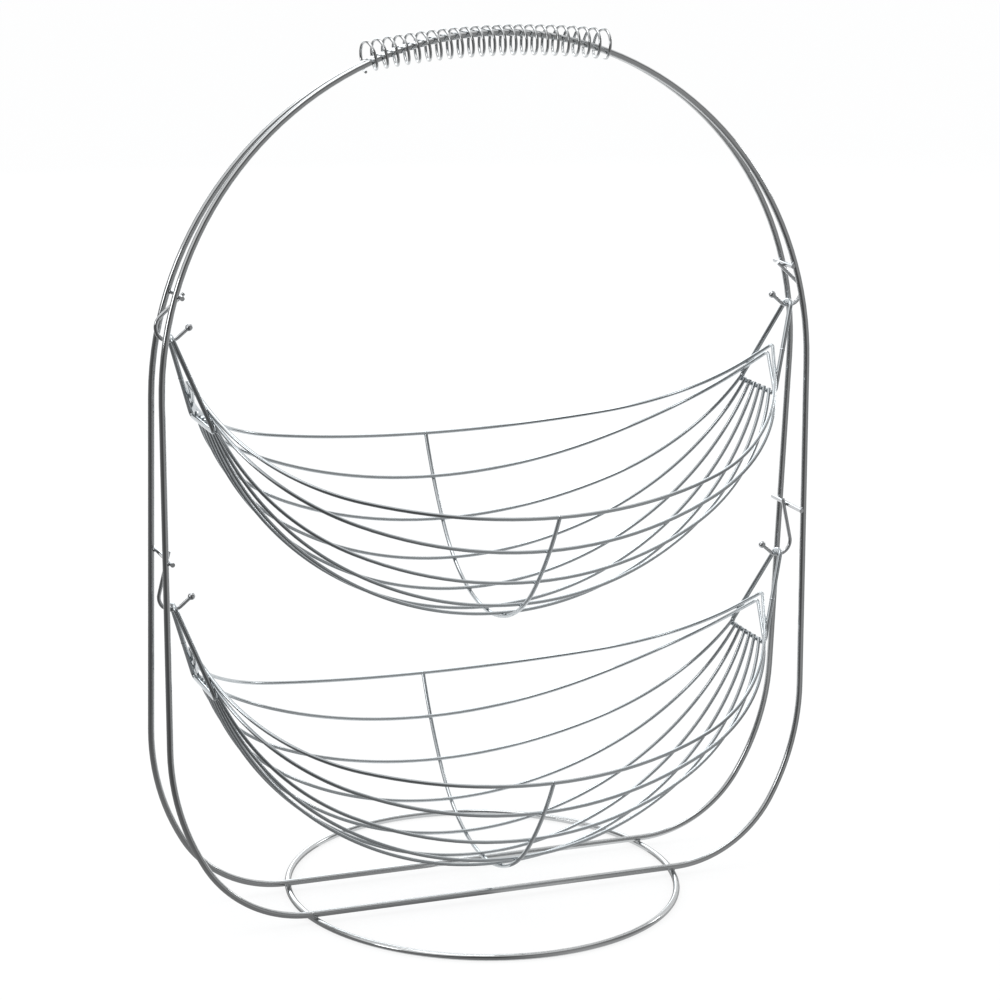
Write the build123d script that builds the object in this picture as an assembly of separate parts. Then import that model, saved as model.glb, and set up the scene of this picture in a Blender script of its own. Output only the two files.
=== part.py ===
from build123d import *
import math
import os

# Tiered wire basket, millimetres. The origin lies on the floor in the middle of the base ring,
# X runs along the baskets, Y from the front to the back and Z up.

# Wire stock
hoop_wire = 3.6
hanger_wire = 2.8
bar_wire = 2.6
hook_wire = 2.2
rib_wire = 2.0
rim_wire = 1.8
long_wire = 1.7
spring_wire = 1.6
weld_set = 0.2

# Wire sections are many-sided, with the same area as the round wire
hoop_sides = 6
thin_sides = 5
ball_sides = 6

# Bends are straight runs, as long as their chords stay this near to the arc and turn no more than this
chord_rise = 0.4
chord_turn = 30.0
straight_turn = 0.01

# Hoops, each in its own leaning plane
hoop_height = 480.0
hoop_half_width = 188.8
hoop_arch_radius = hoop_half_width
hoop_heel_radius = 70.0
hoop_heel_turn = 60.0
hoop_shin_radius = 135.0
rail_half_gap = 24.5

# Base ring, which crosses the rails a little before they bend up
ring_inset = 1.5

# Handle spring, slid a little to the left
spring_outer = 17.0
spring_half_span = 70.0
spring_slide = 5.5
spring_turns = 23
spring_gap = 0.5

# Cross bars and hooks: the upper bars hang below the top of the hoops, the lower ones stand above the floor
upper_bar_drop = 127.5
lower_bar_height = 210.5
bar_heights = {"upper": hoop_height - upper_bar_drop, "lower": lower_bar_height}
bar_overhang = 1.7
hook_drops = {"upper": 25.0, "lower": 30.0}
seat_heights = {tier: bar_heights[tier] - hook_drops[tier] for tier in bar_heights}
seat_inset = 7.5
seat_reach = hoop_half_width - seat_inset
hook_bend_radius = 7.5
hook_mouth_angle = 50.0
hook_lip = 7.0
stem_overhang = 3.5
ball_size = 4.2
ball_socket = 1.6
ball_bands = 4
ball_top_turn = 165.0
socket_gap = 0.02
socket_wall = 0.3

# Hangers, with drops measured down from the middle of the hook's wire
hanger_gap = 0.3
hanger_apex_radius = 4.5
hanger_corner_radius = 2.6
hanger_half_base = 22.0
base_drop = 46.0
base_inset = 17.8
base_reach = seat_reach - base_inset

# Basket bowl: the rib's profile is a tight arc under the bowl and a flatter one up each side
bowl_drop = 162.0
belly_radius = 90.0
belly_turn = 48.0
flank_radius = 224.0
flank_turn = 15.0
side_wires = 3
wires_to_rim = side_wires + 2
wire_pitch = 6.3
wire_fall_angle = 72.0
wire_overhang = 2.0

# Rim and second wire, closed loops that come to a point above each base bar
rim_tip_inset = 6.8
rim_tip_reach = seat_reach - rim_tip_inset
rim_tip_drop = 22.5
rim_cross_share = 0.76
second_tip_inset = 9.8
second_tip_reach = seat_reach - second_tip_inset
second_tip_drop = 27.0
second_cross_share = 0.88
tip_radius = 3.2

across = Vector(1, 0, 0)
back = Vector(0, 1, 0)
up = Vector(0, 0, 1)


def corner_reach(wire_size, sides):
    """From a wire's centre line to its corners."""
    wedge = math.pi / sides
    return wire_size / 2 * math.sqrt(wedge / (math.sin(wedge) * math.cos(wedge)))


def flat_reach(wire_size, sides):
    """From a wire's centre line to its flats."""
    return corner_reach(wire_size, sides) * math.cos(math.pi / sides)


def wire_section(wire_size, sides, place, way, flat_way):
    """Cross section of a wire at a place on its way, with a flat that faces flat_way."""
    plane = Plane(origin=place, x_dir=flat_way, z_dir=way)
    return plane * RegularPolygon(corner_reach(wire_size, sides), sides, rotation=180 / sides)


def corners_of(section):
    """Corners of a many-sided section, in order."""
    return [Vector(corner) for corner in section.wire().vertices()]


def skinned(rings):
    """Solid with flat faces between one ring of corners and the next."""
    outlines = [rings[0], rings[-1]]
    for ring, next_ring in zip(rings, rings[1:]):
        for side in range(len(ring)):
            outlines.append([ring[side - 1], ring[side], next_ring[side], next_ring[side - 1]])
    return Solid(Shell([Face(Wire.make_polygon(outline)) for outline in outlines]))


def runs_of(edge):
    """How many straight runs stand for a line or an arc."""
    turn = math.acos(min((edge % 0).dot(edge % 1), 1))
    if turn < math.radians(straight_turn):
        return 1
    widest = 2 * math.acos(max(1 - chord_rise * turn / edge.length, 0))
    return math.ceil(turn / min(widest, math.radians(chord_turn)))


def wire_along(edges, wire_size, sides, flat_way):
    """Wire along a row of tangent lines and arcs, in straight runs mitred where they meet."""
    stations = [(edges[0] @ 0, edges[0] % 0)]
    for edge in edges:
        shares = [run / runs_of(edge) for run in range(1, runs_of(edge) + 1)]
        stations += [(edge @ share, edge % share) for share in shares]
    rings = [corners_of(wire_section(wire_size, sides, *stations[0], flat_way))]
    for (start, _), (end, way) in zip(stations, stations[1:]):
        run = end - start
        rings.append([corner + run * ((end - corner).dot(way) / run.dot(way)) for corner in rings[-1]])
    return skinned(rings)


def flat(vector):
    """The first two coordinates of a place or direction in a plane."""
    return vector.X, vector.Y


def closed_pair(half, plane):
    """Joins a half loop to its mirror image at the two cut faces."""
    return half + half.mirror(plane)


def biarc(start, start_way, end, end_way):
    """Two tangent arcs that leave start along start_way and arrive at end along end_way."""
    chord = end - start
    turn_term = 2 * (1 - start_way.dot(end_way))
    chord_term = 2 * chord.dot(start_way + end_way)
    square_term = chord.dot(chord)
    if turn_term == 0:
        reach = square_term / chord_term
    else:
        root = math.sqrt(chord_term**2 + 4 * turn_term * square_term)
        reach = (root - chord_term) / (2 * turn_term)
    first = start + start_way * reach
    last = end - end_way * reach
    middle = (first + last) / 2
    return [
        Edge.make_tangent_arc(start, start_way, middle),
        Edge.make_tangent_arc(middle, (last - first).normalized(), end),
    ]


def save(shape, node):
    """Writes one sub-part under its node's name."""
    export_step(shape, f"parts/{node}.step")


# Hoops: the leaning plane, with its foot on the rail and its top beside the other hoop's top
hoop_radius = hoop_wire / 2
ring_height = flat_reach(hoop_wire, hoop_sides)
rail_height = ring_height + hoop_wire - weld_set
lean_share = (rail_half_gap - corner_reach(hoop_wire, hoop_sides)) / hoop_height
lean_up = Vector(0, -lean_share, math.sqrt(1 - lean_share**2))
hoop_plane = Plane(origin=(0, rail_half_gap, rail_height), x_dir=across, z_dir=across.cross(lean_up))
arch_start = hoop_height - hoop_arch_radius
heel_width = hoop_heel_radius * math.sin(math.radians(hoop_heel_turn))
shin_width = hoop_shin_radius * (1 - math.sin(math.radians(hoop_heel_turn)))
rail_half = hoop_half_width - heel_width - shin_width
ring_radius = math.hypot(rail_half - ring_inset, rail_half_gap)


def hoop_outline():
    """Half a hoop, from the middle of its rail round the heel and up to the top of the arch."""
    with BuildLine(hoop_plane):
        rail = Line((0, 0), (rail_half, 0))
        heel = JernArc((rail_half, 0), (1, 0), hoop_heel_radius, hoop_heel_turn)
        heel_end = hoop_plane.to_local_coords(heel @ 1)
        heel_angle = math.radians(hoop_heel_turn)
        heel_way = (math.cos(heel_angle), math.sin(heel_angle))
        shin = JernArc(flat(heel_end), heel_way, hoop_shin_radius, 90 - hoop_heel_turn)
        shin_end = hoop_plane.to_local_coords(shin @ 1)
        leg = Line(flat(shin_end), (hoop_half_width, arch_start))
        arch = JernArc((hoop_half_width, arch_start), (0, 1), hoop_arch_radius, 90)
    return [rail, heel, shin, leg, arch]


def hoop_at(height):
    """Reach, depth and slope of the back hoop's centre line at a height above the floor."""
    rise = (height - rail_height) / lean_up.Z
    depth = rail_half_gap - lean_share * rise
    slope = math.asin(max(rise - arch_start, 0) / hoop_arch_radius)
    return hoop_arch_radius * math.cos(slope), depth, slope


def arch_height(reach):
    """Height above the floor and depth of the back arch's centre line at a reach along X."""
    rise = arch_start + math.sqrt(hoop_arch_radius**2 - reach**2)
    return rail_height + rise * lean_up.Z, rail_half_gap - lean_share * rise


def make_hoops():
    """The two closed hoops that lean together at the top."""
    half = wire_along(hoop_outline(), hoop_wire, hoop_sides, lean_up)
    back_hoop = closed_pair(half, Plane.YZ)
    return {"back_hoop": back_hoop, "front_hoop": back_hoop.mirror(Plane.XZ)}


def make_ring():
    """The foot: a ring of the hoops' wire that lies flat on the floor under both rails."""
    middle = Plane(origin=(0, 0, ring_height))
    with BuildLine(middle):
        half_ring = JernArc((ring_radius, 0), (0, 1), ring_radius, 180)
    half = wire_along([half_ring], hoop_wire, hoop_sides, up)
    return {"base_ring": closed_pair(half, Plane.XZ)}


def make_spring():
    """The loose coil round both arches, straighter than they are, so it bears on them at three places."""
    coil_radius = (spring_outer - spring_wire) / 2
    play = coil_radius - spring_wire / 2 - hoop_radius - spring_gap
    top_height, top_depth = arch_height(0)
    side_height, side_depth = arch_height(spring_half_span)
    middle_axis = top_height - math.sqrt(play**2 - top_depth**2)
    end_axis = side_height + math.sqrt(play**2 - side_depth**2)
    sag = middle_axis - end_axis
    axis_radius = (spring_half_span**2 + sag**2) / (2 * sag)
    axis_height = middle_axis - axis_radius
    half_sweep = math.asin(spring_half_span / axis_radius)
    half_turns = 2 * spring_turns

    def coil_point(step):
        """Place and direction of the coil's centre line after a number of half turns."""
        bend = half_sweep * (2 * step / half_turns - 1)
        turn = math.pi * step
        outward = Vector(math.sin(bend), 0, math.cos(bend))
        along = Vector(math.cos(bend), 0, -math.sin(bend))
        side = outward * math.cos(turn) + back * math.sin(turn)
        place = Vector(0, 0, axis_height) + outward * axis_radius + side * coil_radius
        bend_rate = 2 * half_sweep / half_turns
        advance = along * (bend_rate * (axis_radius + coil_radius * math.cos(turn)))
        whirl = (back * math.cos(turn) - outward * math.sin(turn)) * (coil_radius * math.pi)
        return place, (advance + whirl).normalized()

    stations = [coil_point(step) for step in range(half_turns + 1)]
    first, first_way = stations[0]
    last, last_way = stations[-1]
    edges = [Edge.make_line(first - first_way * spring_wire, first)]
    for (start, start_way), (end, end_way) in zip(stations, stations[1:]):
        edges += biarc(start, start_way, end, end_way)
    edges.append(Edge.make_line(last, last + last_way * spring_wire))
    print_least_gap(edges)
    path = Wire(edges)
    section = wire_section(spring_wire, thin_sides, path @ 0, path % 0, across)
    coil = sweep(section, path=path, clean=False)
    arch_middle = Axis((0, 0, top_height - hoop_arch_radius), back)
    return {"handle_spring": coil.rotate(arch_middle, -math.degrees(spring_slide / hoop_arch_radius))}


def print_least_gap(edges):
    """Measures the spring's least gap to itself on points along its centre line."""
    share_steps = 6
    points = [edge @ (step / share_steps) for edge in edges for step in range(share_steps)]
    half_turn_points = 2 * share_steps
    least = min(
        (there - here).length
        for index, here in enumerate(points)
        for there in points[index + half_turn_points : index + 4 * half_turn_points]
    )
    print("least gap of the spring to itself", round(least - spring_wire, 2), "mm")


def make_ball():
    """The ball on a hook's end, with its zero on the floor of the socket that takes the wire."""
    ball_radius = ball_size / 2
    socket_reach = corner_reach(hook_wire, thin_sides) + socket_gap
    mouth = math.asin((socket_reach + socket_wall) / ball_radius)
    centre = ball_radius * math.cos(mouth) - ball_socket
    rings = []
    for band in range(ball_bands + 1):
        turn = mouth + (math.radians(ball_top_turn) - mouth) * band / ball_bands
        level = Pos(0, 0, centre - ball_radius * math.cos(turn))
        rings.append(corners_of(level * RegularPolygon(ball_radius * math.sin(turn), ball_sides)))
    socket = RegularPolygon(socket_reach, thin_sides, rotation=180 / thin_sides)
    return skinned(rings) - extrude(socket, -2 * ball_socket)


def make_hook(tier):
    """Cross bar, J hook and ball at the right-hand end of one tier."""
    hoop_reach, hoop_depth, slope = hoop_at(bar_heights[tier])
    inset = hoop_radius + bar_wire / 2 - weld_set
    bar_place = Vector(hoop_reach - inset * math.cos(slope), bar_heights[tier] - inset * math.sin(slope))
    bar_length = 2 * (hoop_depth + hoop_radius + bar_overhang)
    to_hoop = Vector(math.cos(slope), 0, math.sin(slope))
    bar_middle = wire_section(bar_wire, hoop_sides, Vector(bar_place.X, 0, bar_place.Y), back, to_hoop)
    bar = extrude(bar_middle, bar_length / 2, both=True)

    # The stem is tangent to the bend and to the bar's inner side
    bend_centre = Vector(seat_reach, seat_heights[tier] + hook_bend_radius)
    offset = bar_place - bend_centre
    stem_inset = bar_wire / 2 + hook_wire / 2 - weld_set
    tilt = math.atan2(offset.Y, offset.X) - math.acos((hook_bend_radius + stem_inset) / offset.length)
    outward = Vector(math.cos(tilt), math.sin(tilt))
    down = Vector(math.sin(tilt), -math.cos(tilt))
    stem_length = stem_overhang - offset.dot(down)
    stem_foot = bend_centre + outward * hook_bend_radius
    stem_top = stem_foot - down * stem_length
    bend_turn = 180 - hook_mouth_angle + math.degrees(tilt)
    mouth_angle = math.radians(hook_mouth_angle)
    lip_way = Vector(-math.cos(mouth_angle), math.sin(mouth_angle))
    with BuildLine(Plane.XZ):
        stem = Line(flat(stem_top), flat(stem_foot))
        bend = JernArc(flat(stem_foot), flat(down), hook_bend_radius, -bend_turn)
        bend_end = Vector((bend @ 1).X, (bend @ 1).Z)
        lip_end = bend_end + lip_way * hook_lip
        lip = Line(flat(bend_end), flat(lip_end))
    hook = wire_along([stem, bend, lip], hook_wire, thin_sides, Vector(outward.X, 0, outward.Y))
    lip_flat = (-lip_way.Y, 0, lip_way.X)
    lip_plane = Plane(origin=(lip_end.X, 0, lip_end.Y), x_dir=lip_flat, z_dir=(lip_way.X, 0, lip_way.Y))
    return {"bar": bar, "hook": hook, "ball": lip_plane * make_ball()}


def make_hooks():
    """Bars, hooks and balls of both tiers, at the right and mirrored to the left."""
    parts = {}
    for tier in seat_heights:
        for piece, shape in make_hook(tier).items():
            parts[f"{tier}_{piece}_right"] = shape
            parts[f"{tier}_{piece}_left"] = shape.mirror(Plane.YZ)
    return parts


# Hangers: one closed triangular loop at each end, in a plane that leans in from the hook. The straight
# runs of the hook's bend cut a little inside its arc, and the hanger clears them.
seat_cut = hook_bend_radius * (1 - math.cos(math.radians(chord_turn / 2)))
seat_top = corner_reach(hook_wire, thin_sides) + seat_cut
hanger_top = Vector(seat_reach, 0, seat_top + hanger_gap + corner_reach(hanger_wire, thin_sides))
base_middle = Vector(base_reach, 0, -base_drop)
hanger_rise = (hanger_top - base_middle).length
hanger_up = (hanger_top - base_middle).normalized()
hanger_out = back.cross(hanger_up)
hanger_plane = Plane(origin=hanger_top - hanger_up * hanger_apex_radius, x_dir=back, z_dir=hanger_out)
base_level = hanger_rise - hanger_apex_radius
corner_distance = math.hypot(hanger_half_base, base_level)
leg_angle = math.acos(hanger_apex_radius / corner_distance) - math.atan2(base_level, hanger_half_base)
leg_top = Vector(math.cos(leg_angle), math.sin(leg_angle)) * hanger_apex_radius
leg_corner = Vector(hanger_half_base, -base_level)
leg_way = (leg_corner - leg_top).normalized()


def leg_point(share, side):
    """Place on a leg's centre line, as a share of the way from the apex bend to the base corner."""
    place = hanger_plane.from_local_coords(leg_top + (leg_corner - leg_top) * share)
    return Vector(place.X, place.Y * side, place.Z)


def make_hanger():
    """The hanger at the right-hand end, round bends at its apex and at both base corners."""
    corner_turn = 90 + math.degrees(leg_angle)
    corner_trim = hanger_corner_radius * math.tan(math.radians(corner_turn / 2))
    leg_end = leg_corner - leg_way * corner_trim
    with BuildLine(hanger_plane):
        edges = [
            JernArc((0, hanger_apex_radius), (1, 0), hanger_apex_radius, math.degrees(leg_angle) - 90),
            Line(flat(leg_top), flat(leg_end)),
            JernArc(flat(leg_end), flat(leg_way), hanger_corner_radius, -corner_turn),
            Line((hanger_half_base - corner_trim, -base_level), (0, -base_level)),
        ]
    return closed_pair(wire_along(edges, hanger_wire, thin_sides, -hanger_up), Plane.XZ)


# Bowl: wires cross the rib at equal steps round its profile, on its inner side
bowl_half_length = belly_radius * math.radians(belly_turn) + flank_radius * math.radians(flank_turn)
rib_offset = rib_wire / 2 + long_wire / 2 - weld_set


def bowl_turns(number):
    """Turn round the belly, and further turn up the flank, at a wire's number."""
    length = bowl_half_length * abs(number) / wires_to_rim
    turned = min(length / belly_radius, math.radians(belly_turn))
    return turned, (length - belly_radius * turned) / flank_radius


def bowl_point(number, offset):
    """Place on the middle profile at a wire's number, moved outward by an offset."""
    turned, flank = bowl_turns(number)
    angle = turned + flank
    spread = belly_radius * math.sin(turned) + flank_radius * (math.sin(angle) - math.sin(turned))
    rise = belly_radius * (1 - math.cos(turned)) + flank_radius * (math.cos(turned) - math.cos(angle))
    side = math.copysign(1, number)
    return Vector(0, side * (spread + offset * math.sin(angle)), rise - bowl_drop - offset * math.cos(angle))


def make_long_wire(number):
    """One wire between the two base bars, an even arc with its lowest point on the rib."""
    middle = bowl_point(number, 0)
    start_level = Vector(base_reach, wire_pitch * number, -base_drop)
    fall = Vector(0, middle.Y - start_level.Y, middle.Z - start_level.Z).normalized()
    fall_angle = math.radians(wire_fall_angle)
    way = fall * math.sin(fall_angle) - across * math.cos(fall_angle)
    inward = (way.cross(back)).normalized()
    inward = inward if inward.X < 0 else -inward
    start = start_level + inward * (hanger_wire / 2 + long_wire / 2 - weld_set)
    right = [Edge.make_line(start - way * wire_overhang, start)] + biarc(start, way, middle, -across)
    return closed_pair(wire_along(right, long_wire, thin_sides, -inward), Plane.YZ)


def make_loop(number, tip_reach, tip_drop, cross_share):
    """Rim or second wire: a quarter from the tip past the hanger's leg to the rib, mirrored twice."""
    tip = Vector(tip_reach, 0, -tip_drop)
    leg = leg_point(cross_share, 1)
    way = (leg - tip).normalized()
    leg_line = (leg_point(1, 1) - leg_point(0, 1)).normalized()
    inward = way.cross(leg_line).normalized()
    inward = inward if inward.X < 0 else -inward
    crossing = leg + inward * (hanger_wire / 2 + rim_wire / 2 - weld_set)
    tip = crossing - way * (crossing.Y / way.Y)
    middle = bowl_point(number, rib_offset if number == wires_to_rim else 0)

    # The tip's bend lies in the plane of the two straight runs that meet there
    run_in = Vector(way.X, 0, way.Z)
    half_turn = math.atan2(run_in.length, way.Y)
    bend_run = tip_radius * math.tan(half_turn)
    bend_end = tip + way * bend_run
    bend_start = tip + run_in.normalized() * (tip_radius / math.cos(half_turn) - tip_radius)
    quarter = [
        Edge.make_tangent_arc(bend_start, back, bend_end),
        Edge.make_line(bend_end, crossing),
    ] + biarc(crossing, way, middle, -across)
    right = closed_pair(wire_along(quarter, rim_wire, thin_sides, -inward), Plane.XZ)
    return closed_pair(right, Plane.YZ)


def make_rib():
    """The cross rib under the long wires, with its ends butted against the rim's underside."""
    end_trim = rim_wire / 2 - weld_set
    end_number = wires_to_rim * (1 - end_trim / bowl_half_length)
    numbers = [*range(wires_to_rim), end_number]
    points = [bowl_point(number, rib_offset) for number in numbers]
    slopes = [sum(bowl_turns(number)) for number in numbers]
    ways = [Vector(0, math.cos(slope), math.sin(slope)) for slope in slopes]
    edges = []
    for start, start_way, end, end_way in zip(points, ways, points[1:], ways[1:]):
        edges += biarc(start, start_way, end, end_way)
    return closed_pair(wire_along(edges, rib_wire, thin_sides, up), Plane.XZ)


def make_basket():
    """One basket in its own frame, with its zero at the middle of the hooks' wire."""
    hanger = make_hanger()
    parts = {
        "hanger_right": hanger,
        "hanger_left": hanger.mirror(Plane.YZ),
        "rim": make_loop(wires_to_rim, rim_tip_reach, rim_tip_drop, rim_cross_share),
        "second_wire": make_loop(wires_to_rim - 1, second_tip_reach, second_tip_drop, second_cross_share),
        "rib": make_rib(),
    }
    for place, number in enumerate(range(side_wires, -side_wires - 1, -1), start=1):
        parts[f"long_wire_{place}"] = make_long_wire(number)
    return parts


os.makedirs("parts", exist_ok=True)
frame_parts = {**make_hoops(), **make_ring(), **make_spring(), **make_hooks()}
for node, shape in frame_parts.items():
    save(shape, node)
basket_parts = make_basket()
for tier, seat_height in seat_heights.items():
    for piece, shape in basket_parts.items():
        save(Pos(0, 0, seat_height) * shape, f"{tier}_{piece}")
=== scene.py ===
import math

import bmesh
import bpy
from mathutils import Matrix, Vector


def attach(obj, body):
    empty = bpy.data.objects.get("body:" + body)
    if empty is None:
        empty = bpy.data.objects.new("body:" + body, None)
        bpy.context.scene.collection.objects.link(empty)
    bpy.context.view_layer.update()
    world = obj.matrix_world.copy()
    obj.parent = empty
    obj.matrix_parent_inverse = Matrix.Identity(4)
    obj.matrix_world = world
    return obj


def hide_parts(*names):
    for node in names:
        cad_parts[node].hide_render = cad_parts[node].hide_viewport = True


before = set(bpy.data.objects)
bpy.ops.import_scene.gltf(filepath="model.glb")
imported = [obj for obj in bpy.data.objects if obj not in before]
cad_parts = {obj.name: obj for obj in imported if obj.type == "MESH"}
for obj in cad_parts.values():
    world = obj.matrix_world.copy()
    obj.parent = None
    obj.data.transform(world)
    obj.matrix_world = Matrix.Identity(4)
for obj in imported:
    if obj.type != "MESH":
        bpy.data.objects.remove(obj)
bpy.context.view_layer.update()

bl_info = {
    "name": "Tiered wire basket",
    "version": (1, 0, 0),
    "blender": (4, 5, 0),
    "location": "3D View > Sidebar > Wire basket",
    "description": "Chromed wire fruit holder with two hanging baskets",
    "category": "Object",
}

MM = 0.001
ACROSS, BACK, UP = Vector((1, 0, 0)), Vector((0, 1, 0)), Vector((0, 0, 1))
X_AXIS, Y_AXIS = 0, 1
TIERS = ("upper", "lower")
SIDES = {"right": 1, "left": -1}

# Paths: a smaller turn than the first is straight, and an arc is cut into steps of at most the second
STRAIGHT = math.radians(0.05)
STEP_TURN = math.radians(30)

# Meshes: bevel resolution of a round wire, and its rings between two points of its path
WIRE_ROUNDNESS = 6
WIRE_RINGS, COIL_RINGS = 12, 4
# Steps of a rounded cut end, and fineness of welds and balls
END_SEGMENTS = 3
BEAD_DETAIL, BUTT_DETAIL = 3, 4
BALL_SEGMENTS, BALL_RINGS = 28, 18
# Distance at which two points are one, as a share of the wire, and the angle of a sharp edge
SAME_POINT = 0.001
SHARP_EDGE = math.radians(50)

# Weld beads: width as a share of the wire, and height as a share of the width
RING_BEAD, BASE_BEAD, LEG_BEAD, RIB_BEAD, RIB_END_BEAD = 0.9, 1.15, 1.2, 1.2, 1.1
BEAD_HEIGHT = 0.62

# Plating: the part of the noise that counts, and its darkest and lightest tone as shares of the colour
NOISE_LOW, NOISE_HIGH = 0.3, 0.7
DARK_TONE, LIGHT_TONE = 0.9, 1.08

# Stage: half the floor's side and the farthest sight in metres, the sensor in mm, the tent's steps
FLOOR_HALF = 40
FAR_SIGHT = 100
SENSOR = 36
TENT_RISE_STEPS, TENT_SWEEP_STEPS = 12, 36

# Lamps: name, place and side in metres, power in watts and colour, and the point that they face
LAMPS = (
    ("top_softbox", (-0.3, 0.1, 1.9), 0.9, 6, "#FFFFFF"),
    ("left_softbox", (-1.9, -0.5, 0.7), 0.5, 3, "#FFFFFF"),
    ("right_softbox", (1.6, 0.3, 0.8), 0.25, 1, "#FFFFFF"),
    ("back_softbox", (0.2, 2.4, 1.25), 1.6, 15, "#F2FAFF"),
)
LAMP_AIM = Vector((0, 0, 0.25))


def linear(hexcode):
    """An sRGB hex colour as linear red, green and blue."""
    values = [int(hexcode[place:place + 2], 16) / 255 for place in (1, 3, 5)]
    return [value / 12.92 if value <= 0.04045 else ((value + 0.055) / 1.055) ** 2.4 for value in values]


def length(label, text, millimetres):
    """A length that the user may change, kept in metres."""
    return bpy.props.FloatProperty(
        name=label, description=text, default=millimetres * MM, unit="LENGTH", precision=5
    )


def angle(label, text, degrees):
    """An angle that the user may change, kept in radians."""
    return bpy.props.FloatProperty(
        name=label, description=text, default=math.radians(degrees), subtype="ANGLE"
    )


def share(label, text, value):
    """A share from 0 to 1 that the user may change."""
    return bpy.props.FloatProperty(
        name=label, description=text, default=value, min=0, max=1, subtype="FACTOR"
    )


def count(label, text, number):
    """A whole number that the user may change."""
    return bpy.props.IntProperty(name=label, description=text, default=number, min=1)


def colour(label, text, hexcode):
    """A colour that the user may change, kept linear."""
    return bpy.props.FloatVectorProperty(
        name=label, description=text, default=linear(hexcode), size=3, min=0, max=1, subtype="COLOR"
    )


class HoopSizes(bpy.types.PropertyGroup):
    """The two hoops and the ring that they stand on."""

    wire: length("Hoop wire", "Diameter of the hoops' and the ring's wire", 3.6)
    height: length("Height", "From the rail up the hoop's own plane to the top of its arch", 480)
    half_width: length("Half width", "From the middle to a leg, and the arch's radius", 188.8)
    heel_radius: length("Heel radius", "Bend where the rail leaves the ring", 70)
    heel_turn: angle("Heel turn", "How far the heel bends up", 60)
    shin_radius: length("Shin radius", "Wider bend from the heel into the leg", 135)
    rail_half_gap: length("Half gap", "From the middle to a rail", 24.5)
    ring_inset: length("Ring inset", "From the ring's crossing to where the rail bends up", 1.5)


class SpringSizes(bpy.types.PropertyGroup):
    """The open coil that makes the handle."""

    wire: length("Spring wire", "Diameter of the coil's wire", 1.6)
    outer: length("Outer diameter", "Outside of the coil", 17)
    half_span: length("Half span", "From the middle of the coil to its end", 70)
    slide: length("Slide", "How far the loose coil has slid to the left", 5.5)
    turns: count("Turns", "Turns of the coil", 23)
    gap: length("Gap", "Clearance between the coil and the arch", 0.5)


class HookSizes(bpy.types.PropertyGroup):
    """Cross bars between the hoops, with a J hook and ball on each."""

    bar_wire: length("Bar wire", "Diameter of the cross bars", 2.6)
    wire: length("Hook wire", "Diameter of the hooks' wire", 2.2)
    upper_bar: length("Upper bar height", "Height of the upper cross bars", 352.5)
    lower_bar: length("Lower bar height", "Height of the lower cross bars", 210.5)
    upper_seat: length("Upper seat height", "Height of the upper hooks' seats", 327.5)
    lower_seat: length("Lower seat height", "Height of the lower hooks' seats", 180.5)
    overhang: length("Bar overhang", "How far a bar runs past the hoops", 1.7)
    reach: length("Seat reach", "From the middle to a hook's seat", 181.3)
    bend_radius: length("Bend radius", "Radius of the hook's bend", 7.5)
    mouth: angle("Mouth angle", "Slope of the lip", 50)
    lip: length("Lip", "Straight length of the lip", 7)
    stem_overhang: length("Stem overhang", "How far the stem runs past its bar", 3.5)
    ball: length("Ball", "Diameter of the ball on the lip", 4.2)
    socket: length("Ball socket", "How deep the wire goes into the ball", 1.6)


class HangerSizes(bpy.types.PropertyGroup):
    """The closed triangular loop at each end of a basket."""

    wire: length("Hanger wire", "Diameter of the hangers' wire", 2.8)
    gap: length("Gap", "Clearance between the hanger and the hook's seat", 0.12)
    apex_radius: length("Apex radius", "Bend that lies on the hook", 4.5)
    corner_radius: length("Corner radius", "Bends at the ends of the base", 2.6)
    half_base: length("Half base", "From the middle to a base corner", 22)
    drop: length("Base drop", "From the hook's seat down to the base", 46)
    reach: length("Base reach", "From the middle of the basket to the base", 163.5)
    joint: share("Joint", "How far down a leg the loop's ends are butt welded", 0.5)


class BowlSizes(bpy.types.PropertyGroup):
    """The wires that make a basket's bowl."""

    long_wire: length("Long wire", "Diameter of the long wires", 2)
    rim_wire: length("Rim wire", "Diameter of the rim and the second wire", 2.1)
    rib_wire: length("Rib wire", "Diameter of the cross rib", 2.3)
    drop: length("Bowl drop", "From the hook's seat down to the bowl's lowest wire", 162)
    belly_radius: length("Belly radius", "Cross profile under the bowl", 90)
    belly_turn: angle("Belly turn", "How far the belly bends on each side", 48)
    flank_radius: length("Flank radius", "Cross profile up the side", 224)
    flank_turn: angle("Flank turn", "How far the flank bends", 15)
    side_wires: count("Side wires", "Long wires on each side of the middle one", 3)
    pitch: length("Wire pitch", "Distance between the long wires on the base", 6.3)
    fall: angle("Fall angle", "How steeply the long wires leave the base", 72)
    overhang: length("Wire overhang", "How far the long wires run past the base", 2)
    rim_reach: length("Rim tip reach", "From the middle to the rim's point", 174.5)
    rim_drop: length("Rim tip drop", "From the hook's seat down to the rim's point", 22.5)
    rim_cross: share("Rim crossing", "Where the rim crosses a hanger's leg", 0.76)
    second_reach: length("Second tip reach", "From the middle to the second wire's point", 171.5)
    second_drop: length("Second tip drop", "From the hook's seat down to the second wire's point", 27)
    second_cross: share("Second crossing", "Where the second wire crosses a hanger's leg", 0.88)
    tip_radius: length("Tip radius", "Bend at the loops' points", 3.2)


class WeldSizes(bpy.types.PropertyGroup):
    """Resistance welds and the sheared ends of the wires."""

    sink: length("Weld sink", "How far two welded wires sink into each other", 0.2)
    butt: length("Butt weld", "Half length of the swollen stretch where a loop's ends meet", 1.3)
    butt_swell: share("Butt swell", "How much thicker a butt weld is than its wire", 0.1)
    burr: length("Cut edge", "Rounding of the sheared wire ends", 0.22)


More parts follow.
